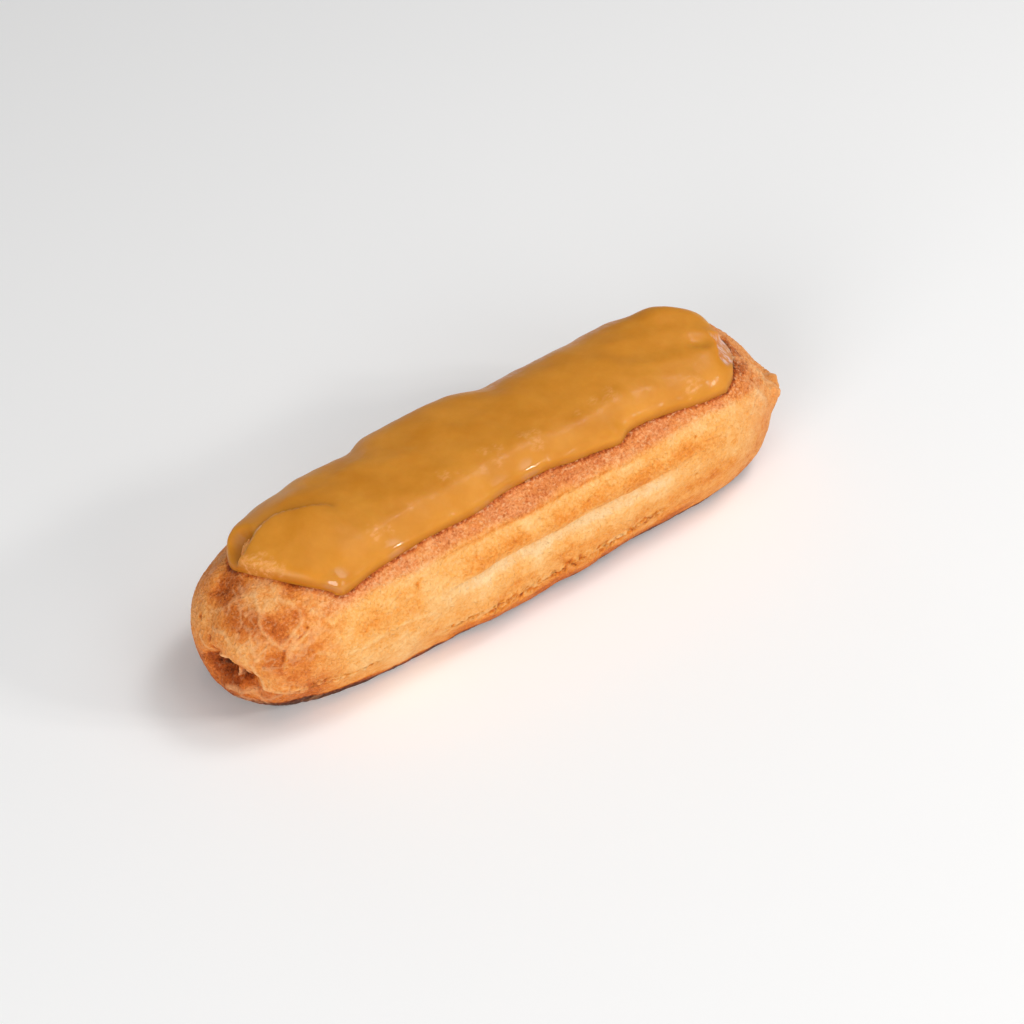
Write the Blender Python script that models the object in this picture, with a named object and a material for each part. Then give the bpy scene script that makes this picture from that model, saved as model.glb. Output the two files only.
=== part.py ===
"""An iced eclair: a long choux bun on a flat base, with a thick coat of icing poured along its top.

X runs along the eclair, Y across it and Z up. The origin is on the ground under its middle.
Run it with: blender --background --python part.py
"""

import math

import bmesh
import bpy
from mathutils import Vector, noise

MM = 0.001

# Driving dimensions of the choux bun.
NEAR_REACH = 74.0 * MM  # from the middle section to the tip at -X
FAR_REACH = 75.5 * MM  # from the middle section to the tip at +X
WIDTH = 41.5 * MM
HEIGHT = 34.4 * MM
WIDEST_HEIGHT = 14.5 * MM  # the sides bulge furthest at this height
BASE_SHARE = 0.74  # the flat base's share of the width
NEAR_CAP = 31 * MM  # length of the rounded end at -X
FAR_CAP = 25 * MM  # length of the rounded end at +X
CAP_BLUNTNESS = 0.80  # 1 is an ellipse, and less is blunter
SHOULDER_SLOPE = 1.35  # more lets the top fall away sooner towards the tips
SECTION_SQUARENESS = 0.88  # 1 is an ellipse, and less is squarer
BEND = 1.2 * MM  # how far the middle bows towards -Y
TIP_SKEW = 1.8 * MM  # how far the near tip swings towards -Y
TIP_SKEW_LENGTH = 24 * MM

# Fineness of the two meshes.
CRUST_AROUND = 60
CRUST_ALONG = 54
ICING_ALONG = 52
ICING_ACROSS = 22

# Shallow grooves between the ridges that the piping nozzle leaves. Turn is measured round the section
# from the top, in degrees, and is positive towards -Y. A groove fades out at both its ends, given along X.
GROOVES = [
    {"turn": 62, "spread": 7, "depth": 0.5 * MM, "start": -36 * MM, "end": 24 * MM},
    {"turn": 81, "spread": 6, "depth": 1.1 * MM, "start": -24 * MM, "end": 38 * MM},
    {"turn": -64, "spread": 7, "depth": 0.7 * MM, "start": -45 * MM, "end": 40 * MM},
    {"turn": -84, "spread": 6, "depth": 1.0 * MM, "start": -40 * MM, "end": 50 * MM},
]
GROOVE_FADE = 12 * MM

LUMP_SIZE = 17 * MM
LUMP_HEIGHT = 0.5 * MM

# Bumps of the crust, and dents where the height is below zero. Each follows a line from start to end.
# Its height is measured along the surface normal and fades to nothing at the radius. All in millimetres.
CRUST_BUMPS = [
    {"start": (-18, 13, 30), "end": (0, 13, 30), "radius": 11, "height": 2.0},
    {"start": (-60, 12, 26), "end": (-30, 15, 28), "radius": 10, "height": -1.6},
    {"start": (-58, -18, 5), "end": (-44, -19, 5), "radius": 9, "height": -1.3},
    {"start": (54, 13, 30), "end": (60, 9, 30), "radius": 10, "height": -0.9},
    {"start": (67, 4, 25), "end": (70, -5, 22), "radius": 7, "height": -1.4},
    {"start": (70, -12, 18), "end": (72, -8, 16), "radius": 6, "height": 2.0},
    {"start": (-62.5, 5.5, 28), "end": (-66.5, 2.5, 26), "radius": 3.6, "height": -1.0},
    {"start": (-67, 2, 25.5), "end": (-72.5, -0.5, 19.5), "radius": 3.4, "height": -0.5},
    {"start": (-72.8, -5.0, 14), "end": (-70.0, -10.5, 12.5), "radius": 5.5, "height": -2.8},
]

# The coat of icing. Its outline is given by X in millimetres and turn in degrees.
ICING_THICKNESS = 1.8 * MM
ICING_BEAD = 3.2 * MM  # width of the rounded rim
ICING_LIP = 0.25 * MM  # height of the rim's foot
ICING_GAP = 0.35 * MM  # the two solids stay this far apart
ICING_WAVE_SIZE = 14 * MM
ICING_WAVE_HEIGHT = 0.35 * MM
ICING_NEAR_SIDE = [
    (-51.8, 47.5), (-50.4, 49.8), (-48.2, 49.2), (-42, 45.5), (-37, 44), (-31, 42.4), (-24, 41.7),
    (-15, 41.7), (-9, 39), (-3, 38), (5, 38.4), (10, 41), (18, 43.5), (23, 45.5), (27, 41), (35, 42), (43, 46), (48, 48), (53.5, 49),
]  # fmt: skip
ICING_FAR_SIDE = [
    (-49, -54), (-40, -51), (-30, -48), (-20, -52), (-10, -54), (0, -50),
    (10, -46), (22, -48), (33, -45), (43, -48), (51, -47),
]  # fmt: skip
ICING_NEAR_END = [
    (-51.8, 47.5), (-52.6, 43.5), (-56, 33), (-59.3, 19), (-61.8, 5),
    (-63.4, -7), (-63.5, -19), (-61.5, -30), (-55.5, -42), (-49, -54),
]  # fmt: skip
ICING_FAR_END = [
    (53.5, 49), (57, 43), (58.8, 30), (59.6, 18), (60.2, 7), (60.6, -6), (60, -19), (57.5, -34), (51, -47),
]  # fmt: skip
ICING_BUMPS = [
    {"start": (-49.5, -17, 28), "end": (-48, -17, 28.5), "radius": 5, "height": 0.8},
    {"start": (-61, 2, 30), "end": (-55, 5.5, 32.5), "radius": 3.4, "height": 0.9},
    {"start": (-55, 5.5, 32.5), "end": (-44, 4, 33.5), "radius": 3.4, "height": 0.7},
    {"start": (-59, 8.5, 30), "end": (-53, 10.5, 31), "radius": 3.6, "height": -0.8},
    {"start": (51, -2.5, 34), "end": (58, -3, 32.8), "radius": 5, "height": -1.1},
    {"start": (-24, -2, 34.5), "end": (20, -1, 34.5), "radius": 9, "height": -0.5},
]


def smooth(low, high, value):
    share = min(max((value - low) / (high - low), 0.0), 1.0)
    return share * share * (3 - 2 * share)


def power(value, exponent):
    return math.copysign(abs(value) ** exponent, value)


def end_shape(side):
    """Straight length, cap length and length of the cap's arc, for the end at -X or +X."""
    cap = NEAR_CAP if side < 0 else FAR_CAP
    reach = NEAR_REACH if side < 0 else FAR_REACH
    return reach - cap, cap, math.pi / 2 * (cap + WIDTH / 2) / 2


def station(run):
    """Place along X, and the share of the full section there, for a run from -1 at one tip to 1 at the other."""
    straight, cap, arc = end_shape(run)
    travelled = abs(run) * (straight + arc)
    if travelled <= straight:
        return math.copysign(travelled, run), 1.0
    angle = (travelled - straight) / arc * math.pi / 2
    x = straight + cap * math.sin(angle)
    return math.copysign(x, run), max(math.cos(angle), 0.0) ** CAP_BLUNTNESS


def run_at(x):
    straight, cap, arc = end_shape(x)
    travelled = abs(x)
    if travelled > straight:
        travelled = straight + arc * math.asin(min((travelled - straight) / cap, 1)) / (math.pi / 2)
    return math.copysign(travelled / (straight + arc), x)


def plain_point(run, turn):
    """The bun before its ridges and bumps. Its underside reaches below the ground, where the base is cut."""
    x, share = station(run)
    across = power(math.sin(turn), SECTION_SQUARENESS)
    up = power(math.cos(turn), SECTION_SQUARENESS)
    rise = (HEIGHT - WIDEST_HEIGHT) * share**SHOULDER_SLOPE
    drop = WIDEST_HEIGHT / (1 - BASE_SHARE ** (2 / SECTION_SQUARENESS)) ** (SECTION_SQUARENESS / 2) * share
    bow = BEND * math.cos(math.pi * x / (NEAR_REACH + FAR_REACH))
    skew = TIP_SKEW * smooth(TIP_SKEW_LENGTH - NEAR_REACH, -NEAR_REACH, x)
    y = -bow - skew - share * WIDTH / 2 * across
    return Vector((x, y, WIDEST_HEIGHT + up * (rise if up > 0 else drop)))


def outward(run, turn):
    """Unit normal of the plain bun."""
    step = 1e-3
    along = plain_point(min(run + step, 1), turn) - plain_point(max(run - step, -1), turn)
    around = plain_point(run, turn + step) - plain_point(run, turn - step)
    normal = around.cross(along)
    if normal.length < 1e-12:
        return Vector((math.copysign(1, run), 0, 0))
    return normal.normalized()


def groove_depth(x, turn):
    depth = 0.0
    for groove in GROOVES:
        away = math.remainder(turn - math.radians(groove["turn"]), 2 * math.pi)
        across = math.exp(-((away / math.radians(groove["spread"])) ** 2))
        fade_in = smooth(groove["start"], groove["start"] + GROOVE_FADE, x)
        fade_out = 1 - smooth(groove["end"] - GROOVE_FADE, groove["end"], x)
        depth += groove["depth"] * across * fade_in * fade_out
    return depth


def bump_height(point, bumps):
    height = 0.0
    for bump in bumps:
        start = Vector(bump["start"]) * MM
        line = Vector(bump["end"]) * MM - start
        share = min(max((point - start).dot(line) / line.length_squared, 0.0), 1.0)
        away = (point - start - share * line).length
        height += bump["height"] * MM * (1 - smooth(0, bump["radius"] * MM, away))
    return height


def surface_point(run, turn, lift=0.0):
    """A point of the crust, or one lifted off it along the normal."""
    point = plain_point(run, turn)
    lump = LUMP_HEIGHT * noise.noise(point / LUMP_SIZE)
    relief = lump + bump_height(point, CRUST_BUMPS) - groove_depth(point.x, turn)
    return point + outward(run, turn) * (relief + lift)


def along(points, share):
    """A smooth curve through points given by X and turn, followed from 0 at the first to 1 at the last."""
    steps = [math.hypot(b[0] - a[0], (b[1] - a[1]) * 0.36) for a, b in zip(points, points[1:])]
    left = share * sum(steps)
    index = 0
    while index < len(steps) - 1 and left > steps[index]:
        left -= steps[index]
        index += 1
    t = min(left / steps[index], 1.0)
    near = [Vector(points[min(max(index + shift, 0), len(points) - 1)]) for shift in (-1, 0, 1, 2)]
    return (
        near[1]
        + (near[2] - near[0]) * (t / 2)
        + (near[0] * 2 - near[1] * 5 + near[2] * 4 - near[3]) * (t * t / 2)
        + (near[1] * 3 - near[0] - near[2] * 3 + near[3]) * (t * t * t / 2)
    )


def icing_place(u, v):
    """Run and turn inside the icing's outline. U goes along it and V across it, both from 0 to 1."""
    sides = along(ICING_NEAR_SIDE, u) * (1 - v) + along(ICING_FAR_SIDE, u) * v
    ends = along(ICING_NEAR_END, v) * (1 - u) + along(ICING_FAR_END, v) * u
    corners = (Vector(ICING_NEAR_SIDE[0]) * (1 - u) + Vector(ICING_NEAR_SIDE[-1]) * u) * (1 - v)
    corners += (Vector(ICING_FAR_SIDE[0]) * (1 - u) + Vector(ICING_FAR_SIDE[-1]) * u) * v
    x, turn = sides + ends - corners
    return run_at(x * MM), math.radians(turn)


def icing_height(u, v, point):
    """Thickness of the icing, which rounds off into a bead along its rim."""
    rim = [surface_point(*icing_place(*place)) for place in ((u, 0), (u, 1), (0, v), (1, v))]
    inward = 1 - min(min((point - other).length for other in rim) / ICING_BEAD, 1.0)
    bead = math.sqrt(max(1 - inward * inward, 0.0))
    wave = ICING_WAVE_HEIGHT * noise.noise(point / ICING_WAVE_SIZE + Vector((7, 3, 5)))
    return ICING_LIP + bead * (ICING_THICKNESS + wave + bump_height(point, ICING_BUMPS))


def finish(bm, name, material):
    bmesh.ops.recalc_face_normals(bm, faces=bm.faces)
    mesh = bpy.data.meshes.new(name)
    bm.to_mesh(mesh)
    bm.free()
    mesh.shade_smooth()
    mesh.materials.append(material)
    obj = bpy.data.objects.new(name, mesh)
    bpy.data.collections["eclair"].objects.link(obj)
    return obj


def make_material(name, colour, roughness):
    material = bpy.data.materials.new(name)
    material.use_nodes = True
    shader = material.node_tree.nodes["Principled BSDF"]
    shader.inputs["Base Color"].default_value = (*colour, 1)
    shader.inputs["Roughness"].default_value = roughness
    return material


def make_crust():
    bm = bmesh.new()
    bmesh.ops.create_uvsphere(bm, u_segments=CRUST_AROUND, v_segments=CRUST_ALONG, radius=1)
    for vert in bm.verts:
        run = math.asin(min(max(vert.co.z, -1), 1)) / (math.pi / 2)
        turn = math.atan2(vert.co.y, vert.co.x)
        vert.co = surface_point(run, turn)
    bmesh.ops.bisect_plane(
        bm,
        geom=bm.verts[:] + bm.edges[:] + bm.faces[:],
        dist=0.2 * MM,
        plane_co=(0, 0, 0),
        plane_no=(0, 0, -1),
        clear_outer=True,
    )
    rim = [edge for edge in bm.edges if edge.is_boundary]
    for vert in {vert for edge in rim for vert in edge.verts}:
        vert.co.z = 0
    bmesh.ops.holes_fill(bm, edges=rim)
    return finish(bm, "choux_bun", make_material("crust", (0.62, 0.30, 0.10), 0.6))


def closer_at_ends(share):
    """Moves grid lines towards both rims, where the icing curves most."""
    return 0.4 * share + 0.6 * (0.5 - 0.5 * math.cos(math.pi * share))


def make_icing():
    bm = bmesh.new()
    bmesh.ops.create_grid(bm, x_segments=ICING_ALONG, y_segments=ICING_ACROSS, size=1)
    top = bmesh.ops.extrude_face_region(bm, geom=bm.faces[:], use_keep_orig=True)["geom"]
    raised = {item for item in top if isinstance(item, bmesh.types.BMVert)}
    for vert in bm.verts:
        u = closer_at_ends((vert.co.x + 1) / 2)
        v = closer_at_ends((vert.co.y + 1) / 2)
        run, turn = icing_place(u, v)
        height = icing_height(u, v, surface_point(run, turn)) if vert in raised else 0.0
        vert.co = surface_point(run, turn, ICING_GAP + height)
    return finish(bm, "icing", make_material("icing", (0.66, 0.27, 0.04), 0.25))


def centre(objects):
    """Puts the middle of the overall size over the origin. The base is on the ground already."""
    corners = [vert.co for obj in objects for vert in obj.data.vertices]
    middle_x = (min(co.x for co in corners) + max(co.x for co in corners)) / 2
    middle_y = (min(co.y for co in corners) + max(co.y for co in corners)) / 2
    for co in corners:
        co.x -= middle_x
        co.y -= middle_y


def main():
    for old in list(bpy.data.objects):
        bpy.data.objects.remove(old)
    collection = bpy.data.collections.new("eclair")
    bpy.context.scene.collection.children.link(collection)
    centre([make_crust(), make_icing()])


main()
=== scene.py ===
import math
import random
from functools import lru_cache

import bmesh
import bpy
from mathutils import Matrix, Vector, noise
from mathutils.kdtree import KDTree


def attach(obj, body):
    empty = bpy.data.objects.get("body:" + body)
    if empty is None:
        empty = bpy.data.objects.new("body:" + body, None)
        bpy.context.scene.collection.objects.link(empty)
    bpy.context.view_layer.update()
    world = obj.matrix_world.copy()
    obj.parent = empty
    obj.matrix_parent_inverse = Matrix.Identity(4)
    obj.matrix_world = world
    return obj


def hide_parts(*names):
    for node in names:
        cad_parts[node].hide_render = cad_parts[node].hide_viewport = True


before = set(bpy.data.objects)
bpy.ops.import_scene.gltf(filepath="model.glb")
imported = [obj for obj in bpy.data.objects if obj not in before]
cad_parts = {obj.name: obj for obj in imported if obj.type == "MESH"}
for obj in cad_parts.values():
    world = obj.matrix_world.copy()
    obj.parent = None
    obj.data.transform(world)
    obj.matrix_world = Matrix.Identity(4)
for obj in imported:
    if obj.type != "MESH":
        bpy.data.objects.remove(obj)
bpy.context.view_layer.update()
print("frame loaded")

# sizes are in millimetres until a mesh is finished
# the turn is the angle round the section in degrees: 0 on top, positive towards -Y

# shape helpers

def eased(low, high, value):
    share = min(max((value - low) / (high - low), 0.0), 1.0)
    return share * share * (3 - 2 * share)


def signedPower(value, exponent):
    return math.copysign(abs(value) ** exponent, value)


def awayFrom(point, start, end):  # distance from a straight stroke
    line = end - start
    share = min(max((point - start).dot(line) / max(line.length_squared, 1e-9), 0.0), 1.0)
    return (point - start - share * line).length


def bumpSum(point, bumps):
    total = 0.0
    for start, end, radius, height in bumps:
        total += height * (1 - eased(0, radius, awayFrom(point, start, end)))
    return total


def readyBumps(bumps):
    return [(Vector(start), Vector(end), radius, height) for start, end, radius, height in bumps]


# the bun's smooth form, the same one that the solid has

bun = {
    "nearReach": 74.0, "farReach": 75.5,  # from the middle section to the two tips
    "width": 41.5, "height": 34.4, "widestHeight": 14.5, "baseShare": 0.74,
    "nearCap": 31, "farCap": 25, "bluntness": 0.80, "shoulderSlope": 1.35, "squareness": 0.88,
    "bend": 1.2, "tipSkew": 1.8, "tipSkewLength": 24,
    "shift": (-0.944, 0.927, 0),  # brings the middle over the origin
    "grooveFade": 12,
    "grooves": [  # turn, spread, depth, from x, to x
        (62, 7, 0.5, -36, 24), (81, 6, 1.1, -24, 38), (-64, 7, 0.7, -45, 40), (-84, 6, 1.0, -40, 50),
    ],
    "lumpSize": 17, "lumpHeight": 0.5,
    "bumps": [  # from, to, radius, height
        ((-18, 13, 30), (0, 13, 30), 11, 2.0),
        ((-60, 12, 26), (-30, 15, 28), 10, -1.6),
        ((-58, -18, 5), (-44, -19, 5), 9, -1.3),
        ((54, 13, 30), (60, 9, 30), 10, -0.9),
        ((67, 4, 25), (70, -5, 22), 7, -1.4),
        ((70, -12, 18), (72, -8, 16), 6, 2.0),
        ((-62.5, 5.5, 28), (-66.5, 2.5, 26), 3.6, -1.0),
        ((-67, 2, 25.5), (-72.5, -0.5, 19.5), 3.4, -0.5),
        ((-72.8, -5.0, 14), (-70.0, -10.5, 12.5), 5.5, -2.8),
    ],
}
bunBumps = readyBumps(bun["bumps"])


def endShape(side):
    cap = bun["nearCap"] if side < 0 else bun["farCap"]
    reach = bun["nearReach"] if side < 0 else bun["farReach"]
    return reach - cap, cap, math.pi / 2 * (cap + bun["width"] / 2) / 2


def sectionAt(run):
    straight, cap, arc = endShape(run)
    travelled = abs(run) * (straight + arc)
    if travelled <= straight:
        return math.copysign(travelled, run), 1.0
    angle = (travelled - straight) / arc * math.pi / 2
    x = math.copysign(straight + cap * math.sin(angle), run)
    return x, max(math.cos(angle), 0.0) ** bun["bluntness"]


def runAt(x):
    straight, cap, arc = endShape(x)
    travelled = abs(x)
    if travelled > straight:
        travelled = straight + arc * math.asin(min((travelled - straight) / cap, 1)) / (math.pi / 2)
    return math.copysign(travelled / (straight + arc), x)


def smoothBun(run, turn):
    x, share = sectionAt(run)
    square = bun["squareness"]
    across = signedPower(math.sin(turn), square)
    up = signedPower(math.cos(turn), square)
    rise = (bun["height"] - bun["widestHeight"]) * share ** bun["shoulderSlope"]
    drop = bun["widestHeight"] / (1 - bun["baseShare"] ** (2 / square)) ** (square / 2) * share
    bow = bun["bend"] * math.cos(math.pi * x / (bun["nearReach"] + bun["farReach"]))
    skew = bun["tipSkew"] * eased(bun["tipSkewLength"] - bun["nearReach"], -bun["nearReach"], x)
    y = -bow - skew - share * bun["width"] / 2 * across
    return Vector((x, y, bun["widestHeight"] + up * (rise if up > 0 else drop)))


def outward(run, turn):
    step = 1e-3
    along = smoothBun(min(run + step, 1), turn) - smoothBun(max(run - step, -1), turn)
    around = smoothBun(run, turn + step) - smoothBun(run, turn - step)
    normal = around.cross(along)
    return normal.normalized() if normal.length > 1e-9 else Vector((math.copysign(1, run), 0, 0))


def grooveSum(x, turn, grooves, wobble=0.0):
    depth = 0.0
    for middle, spread, size, start, end in grooves:
        away = math.remainder(turn - math.radians(middle + wobble), 2 * math.pi) / math.radians(spread)
        if abs(away) < 3:
            fade = eased(start, start + bun["grooveFade"], x) * (1 - eased(end - bun["grooveFade"], end, x))
            depth += size * math.exp(-away * away) * fade
    return depth


def bunSurface(run, turn):  # the place on the crust, and the way out of it
    point = smoothBun(run, turn)
    relief = bun["lumpHeight"] * noise.noise(point / bun["lumpSize"])
    relief += bumpSum(point, bunBumps) - grooveSum(point.x, turn, bun["grooves"])
    way = outward(run, turn)
    return point + way * relief, way


# the bun's fine relief

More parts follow.
